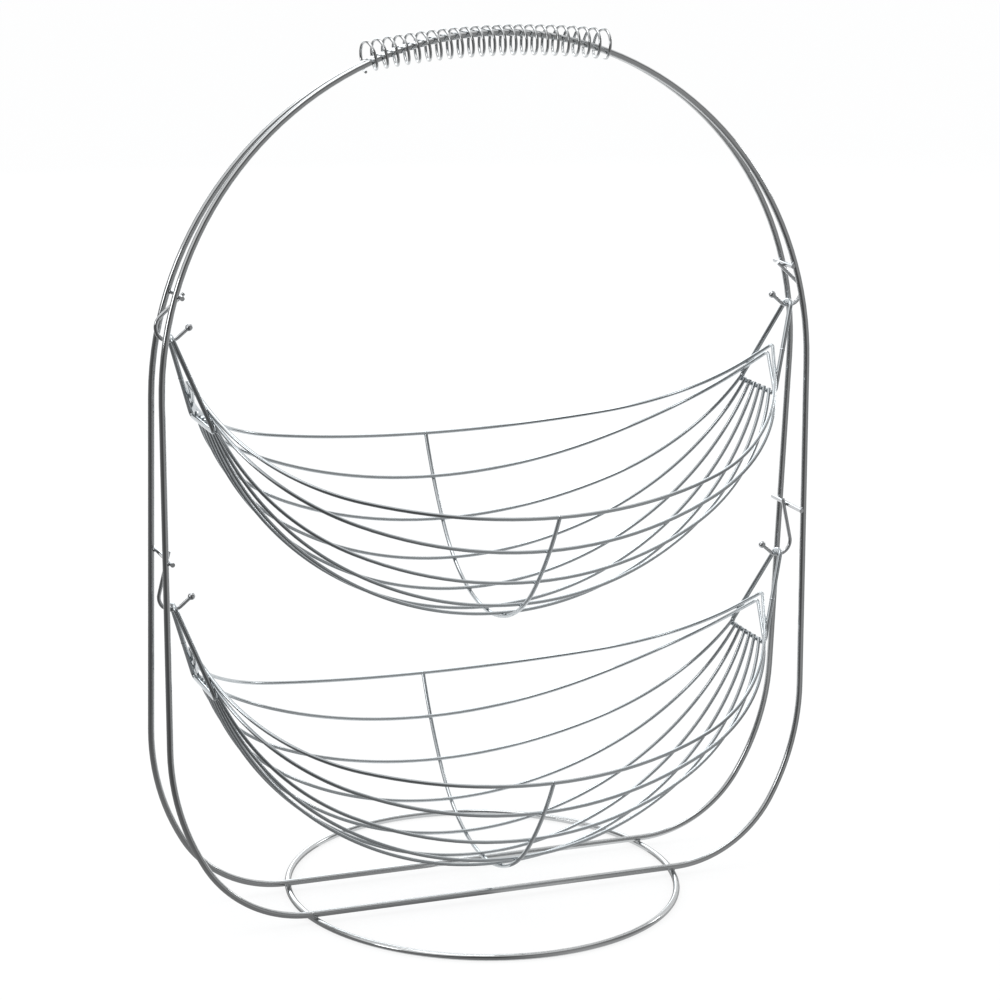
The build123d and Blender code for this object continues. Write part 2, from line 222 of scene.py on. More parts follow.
class ChromeLook(bpy.types.PropertyGroup):
    """Colour and polish of the plating."""

    hoop_chrome: colour("Hoops", "Plating on the hoops and ring", "#C4C6C7")
    spring_chrome: colour("Spring", "Plating on the handle's coil", "#C4C6C7")
    hook_chrome: colour("Hooks", "Plating on the bars, hooks and balls", "#C6C8CA")
    basket_chrome: colour("Baskets", "Plating on the thin basket wire", "#C3C8CB")
    clean: share("Clean", "Roughness of the clean plating", 0.06)
    handled: share("Handled", "Roughness of the handled patches", 0.13)
    patch: length("Patch size", "Size of the handled patches", 28)
    wave: length("Wave length", "Length of the waves that drawing leaves along the wire", 2.4)
    wave_depth: length("Wave depth", "Depth of the waves", 0.1)
    wave_share: share("Wave share", "How much of that depth shows", 0.06)


class StageSizes(bpy.types.PropertyGroup):
    """Camera, floor and light."""

    lens: bpy.props.FloatProperty(
        name="Lens", description=f"Focal length in mm on a {SENSOR} mm sensor", default=105.82, min=1
    )
    distance: length("Camera distance", "From the camera to the point that it looks at", 1631.3)
    azimuth: angle("Azimuth", "Turn of the camera round the object", -21.79)
    elevation: angle("Elevation", "Height of the camera above the horizon", 14.4)
    roll: angle("Roll", "Tilt of the picture", 1.01)
    aim_side: length("Aim aside", "Sideways place of the point looked at", 6.33)
    aim_height: length("Aim height", "Height of the point looked at", 227.2)
    floor: colour("Floor", "Colour of the floor", "#F4F5F6")
    floor_white: share("Floor white", "Share of plain white over the floor's own paint and shadow", 0.8)
    room_light: bpy.props.FloatProperty(
        name="Room light", description="Strength of the even light from the room", default=1.05, min=0
    )
    # The tent is a glowing sheet seen only in the plating: its front, sides and panels are painted
    # reflection, with painted dark bands and painted light panels
    tent_radius: length("Tent radius", "Radius of the dark tent round the camera", 2400)
    tent_start: length("Tent start", "From the middle of the object to the dark cards on the floor", 20)
    tent_sweep: angle("Tent sweep", "How far the tent runs to each side of the camera", 118)
    tent_front: share("Tent front", "Brightness of the tent behind the camera", 0.1)
    tent_sides: share("Tent sides", "Brightness of the tent at its ends", 0.3)
    upper_panel: share("Upper panel", "Brightness of the panel high on the left", 0.8)
    right_panel: share("Right panel", "Brightness of the panel on the right", 0.25)
    top_panel: share("Top panel", "Brightness of the panel overhead", 0.6)
    # Painted light on the floor cards beside the object, full out to the first distance and gone at the
    # second
    near_painted_light: share("Near floor", "Light on the dark cards beside the object", 0.15)
    near_full: length("Near floor full", "How far out that light is full", 100)
    near_end: length("Near floor end", "How far out that light ends", 400)


# Paths: lists of a place and the direction there, joined by lines and arcs that leave along it


def run(path, distance):
    """Carries a path straight on."""
    place, way = path[-1]
    path.append((place + way * distance, way))


def bend(path, axis, radius, turn):
    """Carries a path round an arc, with positive turns anticlockwise about the axis."""
    place, way = path[-1]
    centre = place + axis.cross(way) * math.copysign(radius, turn)
    steps = max(1, math.ceil(abs(turn) / STEP_TURN))
    for step in range(1, steps + 1):
        rotation = Matrix.Rotation(turn * step / steps, 3, axis)
        path.append((centre + rotation @ (place - centre), rotation @ way))


def arc_to(path, end):
    """Carries a path to a place along the one arc that leaves in its direction."""
    place, way = path[-1]
    chord = end - place
    turn = 2 * way.angle(chord)
    if turn < STRAIGHT:
        path.append((end, way))
        return
    bend(path, way.cross(chord).normalized(), chord.length / (2 * math.sin(turn / 2)), turn)


def biarc_to(path, end, end_way):
    """Carries a path by two arcs to a place where its direction is given."""
    place, way = path[-1]
    chord = end - place
    turn_term = 2 * (1 - way.dot(end_way))
    chord_term = 2 * chord.dot(way + end_way)
    square_term = chord.dot(chord)
    if turn_term == 0:
        reach = square_term / chord_term
    else:
        root = math.sqrt(chord_term**2 + 4 * turn_term * square_term)
        reach = (root - chord_term) / (2 * turn_term)
    arc_to(path, (place + way * reach + end - end_way * reach) / 2)
    arc_to(path, end)


def mirrored(path, axis):
    """The path's mirror image across the middle plane, walked from its far end."""
    flip = Matrix.Diagonal([-1 if number == axis else 1 for number in range(3)])
    return [(flip @ place, -(flip @ way)) for place, way in reversed(path)]


def loop_of(half, axis):
    """A closed path from a half whose ends lie on the mirror plane."""
    return half + mirrored(half, axis)[1:-1]


def moved(path, offset):
    """The same path moved as a whole."""
    return [(place + offset, way) for place, way in path]


# Shapes


def wire_mesh(path, size, closed=False, rings=WIRE_RINGS):
    """A bmesh of round wire along a path, with its cut ends slightly rounded."""
    curve = bpy.data.curves.new("wire", "CURVE")
    curve.dimensions = "3D"
    curve.bevel_depth = size / 2
    curve.bevel_resolution = WIRE_ROUNDNESS
    curve.resolution_u = rings
    curve.use_fill_caps = not closed
    spline = curve.splines.new("BEZIER")
    spline.bezier_points.add(len(path) - 1)
    spline.use_cyclic_u = closed
    points = spline.bezier_points
    for point, (place, way) in zip(points, path):
        point.handle_left_type = point.handle_right_type = "FREE"
        point.co = place
        point.handle_left = place - way * size
        point.handle_right = place + way * size
    # A handle of a third of the chord makes a straight run, and an arc needs it longer by its turn
    for number in range(len(path) if closed else len(path) - 1):
        after = (number + 1) % len(path)
        (place, way), (next_place, next_way) = path[number], path[after]
        reach = (next_place - place).length / 3
        turn = way.angle(next_way)
        if turn > STRAIGHT:
            reach *= 2 * math.tan(turn / 4) / math.sin(turn / 2)
        points[number].handle_right = place + way * reach
        points[after].handle_left = next_place - next_way * reach
    holder = bpy.data.objects.new("wire", curve)
    mesh = bpy.data.meshes.new_from_object(holder)
    shape = bmesh.new()
    shape.from_mesh(mesh)
    bpy.data.objects.remove(holder)
    bpy.data.curves.remove(curve)
    bpy.data.meshes.remove(mesh)
    bmesh.ops.remove_doubles(shape, verts=shape.verts, dist=size * SAME_POINT)
    ends = [edge for face in shape.faces if len(face.verts) > 4 for edge in face.edges]
    if ends:
        burr = bpy.context.scene.weld_sizes.burr
        bmesh.ops.bevel(
            shape, geom=ends, offset=burr, segments=END_SEGMENTS, profile=0.5, affect="EDGES", material=-1
        )
    bmesh.ops.recalc_face_normals(shape, faces=shape.faces)
    return shape


def frame_of(along, normal):
    """Turns a shape's X along the wire and its Z along the normal."""
    normal = normal.normalized()
    side = normal.cross(along).normalized()
    return Matrix((side.cross(normal), side, normal)).transposed().to_4x4()


def add_bead(shape, place, along, normal, widths, detail):
    """Adds a ball of metal with its widths along the wire, across it and along the normal."""
    matrix = Matrix.Translation(place) @ frame_of(along, normal) @ Matrix.Diagonal((*widths, 1))
    bmesh.ops.create_icosphere(shape, subdivisions=detail, radius=0.5, matrix=matrix)


def add_weld(shape, place, along, normal, size, height=BEAD_HEIGHT):
    """Adds the squeezed-out metal of a resistance weld between two crossed wires."""
    add_bead(shape, place, along, normal, (size, size, size * height), BEAD_DETAIL)


def add_butt_weld(shape, place, way, size):
    """Adds the swollen band where the two ends of a closed loop are welded together."""
    weld = bpy.context.scene.weld_sizes
    thick = size * (1 + weld.butt_swell)
    add_bead(shape, place, way, way.orthogonal(), (2 * weld.butt, thick, thick), BUTT_DETAIL)


def add_object(name, shape):
    """Links a finished shape as an object at the origin."""
    mesh = bpy.data.meshes.new(name)
    shape.to_mesh(mesh)
    shape.free()
    item = bpy.data.objects.new(name, mesh)
    bpy.context.scene.collection.objects.link(item)
    return item


def add_piece(node, body, slot, shape):
    """Adds a plated piece that stands for a node and moves with its body."""
    piece = add_object(f"{node}_wire", shape)
    piece.data.materials.append(finish(slot))
    piece.data.shade_smooth()
    piece.data.set_sharp_from_angle(angle=SHARP_EDGE)
    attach(piece, body)
    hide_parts(node)


# Where the wires run


def hoop_levels(scene):
    """Height of the ring, height of the rail, and the hoop's lean as a share of its height."""
    hoop, weld = scene.hoop_sizes, scene.weld_sizes
    ring = hoop.wire / 2
    return ring, ring + hoop.wire - weld.sink, (hoop.rail_half_gap - hoop.wire / 2) / hoop.height


def lean_up(scene):
    """Upward direction in the back hoop's plane."""
    lean = hoop_levels(scene)[2]
    return Vector((0, -lean, math.sqrt(1 - lean**2)))


def rail_half(scene):
    """From the middle of a rail to where it bends up."""
    hoop = scene.hoop_sizes
    heel_width = hoop.heel_radius * math.sin(hoop.heel_turn)
    shin_width = hoop.shin_radius * (1 - math.sin(hoop.heel_turn))
    return hoop.half_width - heel_width - shin_width


def hoop_path(scene):
    """The back hoop, from the middle of its rail."""
    hoop = scene.hoop_sizes
    rail = hoop_levels(scene)[1]
    axis = ACROSS.cross(lean_up(scene))
    heel_rise = hoop.heel_radius * (1 - math.cos(hoop.heel_turn))
    shin_rise = hoop.shin_radius * math.cos(hoop.heel_turn)
    half = [(Vector((0, hoop.rail_half_gap, rail)), ACROSS)]
    run(half, rail_half(scene))
    bend(half, axis, hoop.heel_radius, hoop.heel_turn)
    bend(half, axis, hoop.shin_radius, math.pi / 2 - hoop.heel_turn)
    run(half, hoop.height - hoop.half_width - heel_rise - shin_rise)
    bend(half, axis, hoop.half_width, math.pi / 2)
    return loop_of(half, X_AXIS)


def hoop_at(scene, height):
    """Reach, depth and slope of the back hoop at a height above the floor."""
    hoop = scene.hoop_sizes
    _, rail, lean = hoop_levels(scene)
    rise = (height - rail) / lean_up(scene).z
    slope = math.asin(max(rise - hoop.height + hoop.half_width, 0) / hoop.half_width)
    return hoop.half_width * math.cos(slope), hoop.rail_half_gap - lean * rise, slope


def arch_at(scene, reach):
    """Height and depth of the back arch at a reach."""
    hoop = scene.hoop_sizes
    _, rail, lean = hoop_levels(scene)
    rise = hoop.height - hoop.half_width + math.sqrt(hoop.half_width**2 - reach**2)
    return rail + rise * lean_up(scene).z, hoop.rail_half_gap - lean * rise


def ring_crossing(scene):
    """From the middle to where the ring crosses under a rail."""
    return rail_half(scene) - scene.hoop_sizes.ring_inset


def ring_path(scene):
    """The ring foot."""
    radius = math.hypot(ring_crossing(scene), scene.hoop_sizes.rail_half_gap)
    path = [(Vector((radius, 0, hoop_levels(scene)[0])), BACK)]
    bend(path, UP, radius, 2 * math.pi)
    return path[:-1]


def spring_path(scene):
    """The right-hand coil round both arches, with its straight cut ends at the bottom."""
    spring, hoop = scene.spring_sizes, scene.hoop_sizes
    coil = (spring.outer - spring.wire) / 2
    play = coil - spring.wire / 2 - hoop.wire / 2 - spring.gap
    top_height, top_depth = arch_at(scene, 0)
    side_height, side_depth = arch_at(scene, spring.half_span)
    middle = top_height - math.sqrt(play**2 - top_depth**2)
    end = side_height + math.sqrt(play**2 - side_depth**2)
    sag = middle - end
    radius = (spring.half_span**2 + sag**2) / (2 * sag)
    half_sweep = math.asin(spring.half_span / radius)
    half_turns = 2 * spring.turns
    stations = []
    for step in range(half_turns + 1):
        lean = half_sweep * (2 * step / half_turns - 1)
        turn = math.pi * (step + 1)
        outward = Vector((math.sin(lean), 0, math.cos(lean)))
        along = Vector((math.cos(lean), 0, -math.sin(lean)))
        side = outward * math.cos(turn) - BACK * math.sin(turn)
        place = Vector((0, 0, middle - radius)) + outward * radius + side * coil
        advance = along * (2 * half_sweep / half_turns * (radius + coil * math.cos(turn)))
        whirl = (-BACK * math.cos(turn) - outward * math.sin(turn)) * (coil * math.pi)
        stations.append((place, (advance + whirl).normalized()))
    first, first_way = stations[0]
    path = [(first - first_way * spring.wire, first_way), stations[0]]
    for place, way in stations[1:]:
        biarc_to(path, place, way)
    run(path, spring.wire)
    arch_middle = Vector((0, 0, top_height - hoop.half_width))
    turn = Matrix.Rotation(-spring.slide / hoop.half_width, 3, BACK)
    return [(arch_middle + turn @ (place - arch_middle), turn @ way) for place, way in path]


def seat_height(scene, tier):
    """Height of one tier's hook seats, which is where its basket swings."""
    return getattr(scene.hook_sizes, f"{tier}_seat")


def bar_middle(scene, tier):
    """Middle of the right-hand cross bar, its length and the slope of the hoop there."""
    hook, hoop, weld = scene.hook_sizes, scene.hoop_sizes, scene.weld_sizes
    height = getattr(hook, f"{tier}_bar")
    reach, depth, slope = hoop_at(scene, height)
    inset = hoop.wire / 2 + hook.bar_wire / 2 - weld.sink
    place = Vector((reach - inset * math.cos(slope), 0, height - inset * math.sin(slope)))
    return place, 2 * (depth + hoop.wire / 2 + hook.overhang), slope


def hook_path(scene, tier):
    """The right-hand hook, from the top of its stem to the end of its lip."""
    hook, weld = scene.hook_sizes, scene.weld_sizes
    centre = Vector((hook.reach, 0, seat_height(scene, tier) + hook.bend_radius))
    offset = bar_middle(scene, tier)[0] - centre
    inset = hook.bar_wire / 2 + hook.wire / 2 - weld.sink
    tilt = math.atan2(offset.z, offset.x) - math.acos((hook.bend_radius + inset) / offset.length)
    outward = Vector((math.cos(tilt), 0, math.sin(tilt)))
    down = Vector((math.sin(tilt), 0, -math.cos(tilt)))
    stem = hook.stem_overhang - offset.dot(down)
    path = [(centre + outward * hook.bend_radius - down * stem, down)]
    run(path, stem)
    bend(path, BACK, hook.bend_radius, math.pi - hook.mouth + tilt)
    run(path, hook.lip)
    return path


def hanger_frame(scene):
    """Top, upward direction, leg's slope, leg's start and base corner of the right-hand hanger."""
    hanger, hook = scene.hanger_sizes, scene.hook_sizes
    top = Vector((hook.reach, 0, hook.wire / 2 + hanger.gap + hanger.wire / 2))
    base = Vector((hanger.reach, 0, -hanger.drop))
    up_way = (top - base).normalized()
    level = (top - base).length - hanger.apex_radius
    distance = math.hypot(hanger.half_base, level)
    leg_turn = math.acos(hanger.apex_radius / distance) - math.atan2(level, hanger.half_base)
    centre = top - up_way * hanger.apex_radius
    leg_top = centre + (BACK * math.cos(leg_turn) + up_way * math.sin(leg_turn)) * hanger.apex_radius
    corner = centre + BACK * hanger.half_base - up_way * level
    return top, up_way, leg_turn, leg_top, corner


def hanger_path(scene):
    """The right-hand hanger, a closed loop."""
    hanger = scene.hanger_sizes
    top, up_way, leg_turn, leg_top, corner = hanger_frame(scene)
    axis = up_way.cross(BACK)
    corner_turn = math.pi / 2 + leg_turn
    trim = hanger.corner_radius * math.tan(corner_turn / 2)
    half = [(top, BACK)]
    bend(half, axis, hanger.apex_radius, math.pi / 2 - leg_turn)
    run(half, (corner - leg_top).length - trim)
    bend(half, axis, hanger.corner_radius, corner_turn)
    run(half, hanger.half_base - trim)
    return loop_of(half, Y_AXIS)


def leg_point(scene, along):
    """Place on the right-hand hanger's back leg, as a share of the way down it."""
    leg_top, corner = hanger_frame(scene)[3:]
    return leg_top + (corner - leg_top) * along


def wires_to_rim(scene):
    """Number of the rim, where 0 is the middle long wire and each step one wire out."""
    return scene.bowl_sizes.side_wires + 2


def bowl_half_length(scene):
    """Length of the cross profile from its lowest point to the rim."""
    bowl = scene.bowl_sizes
    return bowl.belly_radius * bowl.belly_turn + bowl.flank_radius * bowl.flank_turn


def bowl_slope(scene, number):
    """Turn round the belly and further turn up the flank at a wire's number."""
    bowl = scene.bowl_sizes
    reach = bowl_half_length(scene) * abs(number) / wires_to_rim(scene)
    turned = min(reach / bowl.belly_radius, bowl.belly_turn)
    return turned, (reach - bowl.belly_radius * turned) / bowl.flank_radius


def outward_at(scene, number):
    """Direction out of the bowl at a wire's number."""
    slope = sum(bowl_slope(scene, number))
    return Vector((0, math.copysign(math.sin(slope), number), -math.cos(slope)))


def bowl_point(scene, number, offset):
    """Place on the cross profile at a wire's number, moved outward by an offset."""
    bowl = scene.bowl_sizes
    turned, flank = bowl_slope(scene, number)
    slope = turned + flank
    spread = bowl.belly_radius * math.sin(turned) + bowl.flank_radius * (math.sin(slope) - math.sin(turned))
    rise = bowl.belly_radius * (1 - math.cos(turned))
    rise += bowl.flank_radius * (math.cos(turned) - math.cos(slope))
    place = Vector((0, math.copysign(spread, number), rise - bowl.drop))
    return place + outward_at(scene, number) * offset


def long_wire_start(scene, number):
    """Weld place on the base, the wire's direction there and the direction into the basket."""
    bowl, hanger, weld = scene.bowl_sizes, scene.hanger_sizes, scene.weld_sizes
    base = Vector((hanger.reach, bowl.pitch * number, -hanger.drop))
    fall = bowl_point(scene, number, 0) - base
    fall.x = 0
    way = fall.normalized() * math.sin(bowl.fall) - ACROSS * math.cos(bowl.fall)
    inward = way.cross(BACK).normalized()
    if inward.x > 0:
        inward.negate()
    start = base + inward * (hanger.wire / 2 + bowl.long_wire / 2 - weld.sink)
    return start, way, inward


def long_wire_path(scene, number):
    """One long wire, from its left end to its right end."""
    start, way, _ = long_wire_start(scene, number)
    path = [(start - way * scene.bowl_sizes.overhang, way), (start, way)]
    biarc_to(path, bowl_point(scene, number, 0), -ACROSS)
    return path + mirrored(path, X_AXIS)[1:]


def loop_crossing(scene, kind):
    """Weld place on the right-hand hanger's back leg, the loop's direction there and the way in."""
    bowl, hanger, weld = scene.bowl_sizes, scene.hanger_sizes, scene.weld_sizes
    tip = Vector((getattr(bowl, f"{kind}_reach"), 0, -getattr(bowl, f"{kind}_drop")))
    leg = leg_point(scene, getattr(bowl, f"{kind}_cross"))
    way = (leg - tip).normalized()
    inward = way.cross(leg_point(scene, 1) - leg_point(scene, 0)).normalized()
    if inward.x > 0:
        inward.negate()
    return leg + inward * (hanger.wire / 2 + bowl.rim_wire / 2 - weld.sink), way, inward


def loop_path(scene, kind):
    """The rim or the second wire, a closed loop with a point at each end."""
    bowl = scene.bowl_sizes
    crossing, way, _ = loop_crossing(scene, kind)
    tip = crossing - way * (crossing.y / way.y)
    number = wires_to_rim(scene) if kind == "rim" else wires_to_rim(scene) - 1
    offset = rib_offset(scene) if kind == "rim" else 0
    run_in = Vector((way.x, 0, way.z))
    half_turn = math.atan2(run_in.length, way.y)
    start = tip + run_in.normalized() * (bowl.tip_radius / math.cos(half_turn) - bowl.tip_radius)
    quarter = [(start, BACK)]
    arc_to(quarter, tip + way * (bowl.tip_radius * math.tan(half_turn)))
    quarter.append((crossing, way))
    biarc_to(quarter, bowl_point(scene, number, offset), -ACROSS)
    half = quarter + mirrored(quarter, X_AXIS)[1:]
    return loop_of(half, Y_AXIS)


def rib_offset(scene):
    """From the long wires' middles out to the rib's middle."""
    bowl, weld = scene.bowl_sizes, scene.weld_sizes
    return bowl.rib_wire / 2 + bowl.long_wire / 2 - weld.sink


def rib_path(scene):
    """The rib, from its front end to its back end."""
    bowl, weld = scene.bowl_sizes, scene.weld_sizes
    offset = rib_offset(scene)
    trim = bowl.rim_wire / 2 - weld.sink
    flank = bowl.flank_radius + offset
    half = [(bowl_point(scene, 0, offset), BACK)]
    bend(half, ACROSS, bowl.belly_radius + offset, bowl.belly_turn)
    bend(half, ACROSS, flank, bowl.flank_turn - trim / flank)
    return mirrored(half, Y_AXIS) + half[1:]


# Finishes


def add_node(tree, kind, settings=None, inputs=None):
    """Adds a shader node, sets its properties, and sets or links its inputs."""
    node = tree.nodes.new(f"ShaderNode{kind}")
    for name, value in (settings or {}).items():
        setattr(node, name, value)
    for name, value in (inputs or {}).items():
        if isinstance(value, bpy.types.NodeSocket):
            tree.links.new(value, node.inputs[name])
        else:
            node.inputs[name].default_value = value
    return node


def empty_tree(owner):
    """The node tree of a new material or world, with nothing in it."""
    owner.use_nodes = True
    owner.node_tree.nodes.clear()
    return owner.node_tree


def chrome(name, tone):
    """Chrome plate over bright nickel on drawn steel wire."""
    # To the eye it is a nearly neutral mirror with a faint blue cast. Drawing leaves slow waves along the
    # wire, so that highlights waver and break up, and handling leaves patches that are slightly duller.
    look = bpy.context.scene.chrome_look
    material = bpy.data.materials.new(name)
    tree = empty_tree(material)
    place = add_node(tree, "TexCoord").outputs["Object"]
    fine = {"Vector": place, "Scale": 1 / look.wave, "Detail": 2.0, "Roughness": 0.55}
    waves = add_node(tree, "TexNoise", inputs=fine).outputs["Fac"]
    coarse = {"Vector": place, "Scale": 1 / look.patch, "Detail": 3.0, "Roughness": 0.6}
    patches = add_node(tree, "TexNoise", inputs=coarse).outputs["Fac"]
    polish = {
        "Value": patches,
        "From Min": NOISE_LOW,
        "From Max": NOISE_HIGH,
        "To Min": look.clean,
        "To Max": look.handled,
    }
    tint = {
        "Factor": patches,
        "A": [value * DARK_TONE for value in tone] + [1],
        "B": [min(value * LIGHT_TONE, 1) for value in tone] + [1],
    }
    relief = {"Height": waves, "Strength": look.wave_share, "Distance": look.wave_depth}
    plate = {
        "Base Color": add_node(tree, "Mix", {"data_type": "RGBA"}, tint).outputs["Result"],
        "Metallic": 1.0,
        "Roughness": add_node(tree, "MapRange", inputs=polish).outputs["Result"],
        "Normal": add_node(tree, "Bump", inputs=relief).outputs["Normal"],
    }
    shader = add_node(tree, "BsdfPrincipled", inputs=plate)
    add_node(tree, "OutputMaterial", inputs={"Surface": shader.outputs["BSDF"]})
    return material


def finish(slot):
    """The plating of a slot, made once."""
    name = f"{slot}_plate"
    tone = getattr(bpy.context.scene.chrome_look, slot)
    return bpy.data.materials.get(name) or chrome(name, tone)


# Operators


class BuildHoops(bpy.types.Operator):
    """Builds the two leaning hoops, each one closed loop of wire butt welded in its rail"""

    bl_idname = "wire_basket.hoops"
    bl_label = "Hoops"

    def execute(self, context):
        scene = context.scene
        size = scene.hoop_sizes.wire
        path = hoop_path(scene)
        for node, route in (("back_hoop", path), ("front_hoop", mirrored(path, Y_AXIS))):
            shape = wire_mesh(route, size, closed=True)
            add_butt_weld(shape, *route[0], size)
            add_piece(node, "frame", "hoop_chrome", shape)
        return {"FINISHED"}


class BuildRing(bpy.types.Operator):
    """Builds the ring foot with its four welds to the rails"""

    bl_idname = "wire_basket.ring"
    bl_label = "Ring foot"

    def execute(self, context):
        scene = context.scene
        hoop = scene.hoop_sizes
        shape = wire_mesh(ring_path(scene), hoop.wire, closed=True)
        ring_level, rail_level, _ = hoop_levels(scene)
        reach = ring_crossing(scene)
        for side in SIDES.values():
            for depth in (hoop.rail_half_gap, -hoop.rail_half_gap):
                place = Vector((reach * side, depth, (ring_level + rail_level) / 2))
                add_weld(shape, place, ACROSS, UP, hoop.wire * RING_BEAD)
        add_piece("base_ring", "frame", "hoop_chrome", shape)
        return {"FINISHED"}


class BuildSpring(bpy.types.Operator):
    """Builds the open coil round both arches"""

    bl_idname = "wire_basket.spring"
    bl_label = "Handle spring"

    def execute(self, context):
        scene = context.scene
        shape = wire_mesh(spring_path(scene), scene.spring_sizes.wire, rings=COIL_RINGS)
        add_piece("handle_spring", "frame", "spring_chrome", shape)
        return {"FINISHED"}


class BuildHooks(bpy.types.Operator):
    """Builds the cross bars, the J hooks and the balls on their lips"""

    bl_idname = "wire_basket.hooks"
    bl_label = "Bars, hooks and balls"

    def execute(self, context):
        for tier in TIERS:
            for name, side in SIDES.items():
                turned = Matrix.Diagonal((side, 1, 1))
                self.add_bar(context.scene, tier, name, turned)
                self.add_hook(context.scene, tier, name, turned)
        return {"FINISHED"}

    def add_bar(self, scene, tier, name, turned):
        """A cross bar with its welds to both hoops."""
        hook, hoop = scene.hook_sizes, scene.hoop_sizes
        middle, bar_length, slope = bar_middle(scene, tier)
        half = BACK * bar_length / 2
        shape = wire_mesh([(turned @ middle - half, BACK), (turned @ middle + half, BACK)], hook.bar_wire)
        to_hoop = Vector((math.cos(slope), 0, math.sin(slope)))
        depth = bar_length / 2 - hook.overhang - hoop.wire / 2
        for back in (depth, -depth):
            place = turned @ (middle + to_hoop * (hook.bar_wire / 2)) + BACK * back
            add_weld(shape, place, BACK, turned @ to_hoop, hook.bar_wire)
        add_piece(f"{tier}_bar_{name}", "frame", "hook_chrome", shape)

    def add_hook(self, scene, tier, name, turned):
        """A hook with its weld to the bar, and the ball on its lip."""
        hook = scene.hook_sizes
        middle = turned @ bar_middle(scene, tier)[0]
        route = [(turned @ place, turned @ way) for place, way in hook_path(scene, tier)]
        stem, stem_way = route[0]
        to_stem = stem_way.cross(BACK)
        shape = wire_mesh(route, hook.wire)
        add_weld(shape, middle + (stem - middle).project(to_stem) / 2, BACK, to_stem, hook.wire)
        add_piece(f"{tier}_hook_{name}", "frame", "hook_chrome", shape)
        lip_end, lip_way = route[-1]
        centre = lip_end + lip_way * (hook.ball / 2 - hook.socket)
        shape = bmesh.new()
        bmesh.ops.create_uvsphere(
            shape, u_segments=BALL_SEGMENTS, v_segments=BALL_RINGS, radius=hook.ball / 2,
            matrix=Matrix.Translation(centre) @ frame_of(BACK, lip_way),
        )
        add_piece(f"{tier}_ball_{name}", "frame", "hook_chrome", shape)


class BuildHangers(bpy.types.Operator):
    """Builds the triangular hanger at each end of both baskets, with the welds on it"""

    bl_idname = "wire_basket.hangers"
    bl_label = "Hangers"

    def execute(self, context):
        for tier in TIERS:
            for name, side in SIDES.items():
                self.add_hanger(context.scene, tier, name, side)
        return {"FINISHED"}

    def add_hanger(self, scene, tier, name, side):
        """A hanger with its butt weld on one leg, and a bead under each of the bowl's wires."""
        hanger, bowl = scene.hanger_sizes, scene.bowl_sizes
        lift = UP * seat_height(scene, tier)
        turned = Matrix.Diagonal((side, 1, 1))
        route = [(turned @ place + lift, turned @ way) for place, way in hanger_path(scene)]
        shape = wire_mesh(route, hanger.wire, closed=True)
        both = Matrix.Diagonal((side, -side, 1))
        leg_way = leg_point(scene, 1) - leg_point(scene, 0)
        joint = leg_point(scene, hanger.joint)
        add_butt_weld(shape, both @ joint + lift, (both @ leg_way).normalized(), hanger.wire)
        for number in range(-bowl.side_wires, bowl.side_wires + 1):
            start, _, inward = long_wire_start(scene, number)
            place = start - inward * (bowl.long_wire / 2)
            add_weld(shape, turned @ place + lift, BACK, turned @ inward, bowl.long_wire * BASE_BEAD)
        for kind in ("rim", "second"):
            crossing, way, inward = loop_crossing(scene, kind)
            place = crossing - inward * (bowl.rim_wire / 2)
            for depth in (1, -1):
                both = Matrix.Diagonal((side, depth, 1))
                add_weld(shape, both @ place + lift, both @ way, both @ inward, bowl.rim_wire * LEG_BEAD)
        add_piece(f"{tier}_hanger_{name}", f"{tier}_basket", "basket_chrome", shape)


class BuildLongWires(bpy.types.Operator):
    """Builds the long wires that carry the fruit"""

    bl_idname = "wire_basket.long_wires"
    bl_label = "Long wires"

    def execute(self, context):
        scene = context.scene
        bowl = scene.bowl_sizes
        for tier in TIERS:
            lift = UP * seat_height(scene, tier)
            for place, number in enumerate(range(bowl.side_wires, -bowl.side_wires - 1, -1), start=1):
                shape = wire_mesh(moved(long_wire_path(scene, number), lift), bowl.long_wire)
                add_piece(f"{tier}_long_wire_{place}", f"{tier}_basket", "basket_chrome", shape)
        return {"FINISHED"}


class BuildLoops(bpy.types.Operator):
    """Builds the rim and the second wire, closed loops with upswept points"""

    bl_idname = "wire_basket.loops"
    bl_label = "Rims and second wires"

    def execute(self, context):
        scene = context.scene
        for tier in TIERS:
            lift = UP * seat_height(scene, tier)
            for kind, node in (("rim", "rim"), ("second", "second_wire")):
                route = moved(loop_path(scene, kind), lift)
                shape = wire_mesh(route, scene.bowl_sizes.rim_wire, closed=True)
                add_piece(f"{tier}_{node}", f"{tier}_basket", "basket_chrome", shape)
        return {"FINISHED"}


class BuildRibs(bpy.types.Operator):
    """Builds the cross rib under each bowl, with its weld to every wire"""

    bl_idname = "wire_basket.ribs"
    bl_label = "Cross ribs"

    def execute(self, context):
        scene = context.scene
        bowl = scene.bowl_sizes
        top = wires_to_rim(scene)
        for tier in TIERS:
            lift = UP * seat_height(scene, tier)
            shape = wire_mesh(moved(rib_path(scene), lift), bowl.rib_wire)
            for number in range(1 - top, top):
                place = bowl_point(scene, number, bowl.long_wire / 2) + lift
                add_weld(shape, place, ACROSS, outward_at(scene, number), bowl.long_wire * RIB_BEAD)
            for number in (-top, top):
                place = bowl_point(scene, number, rib_offset(scene)) + lift
                add_weld(shape, place, ACROSS, UP, bowl.rib_wire * RIB_END_BEAD, height=1)
            add_piece(f"{tier}_rib", f"{tier}_basket", "basket_chrome", shape)
        return {"FINISHED"}


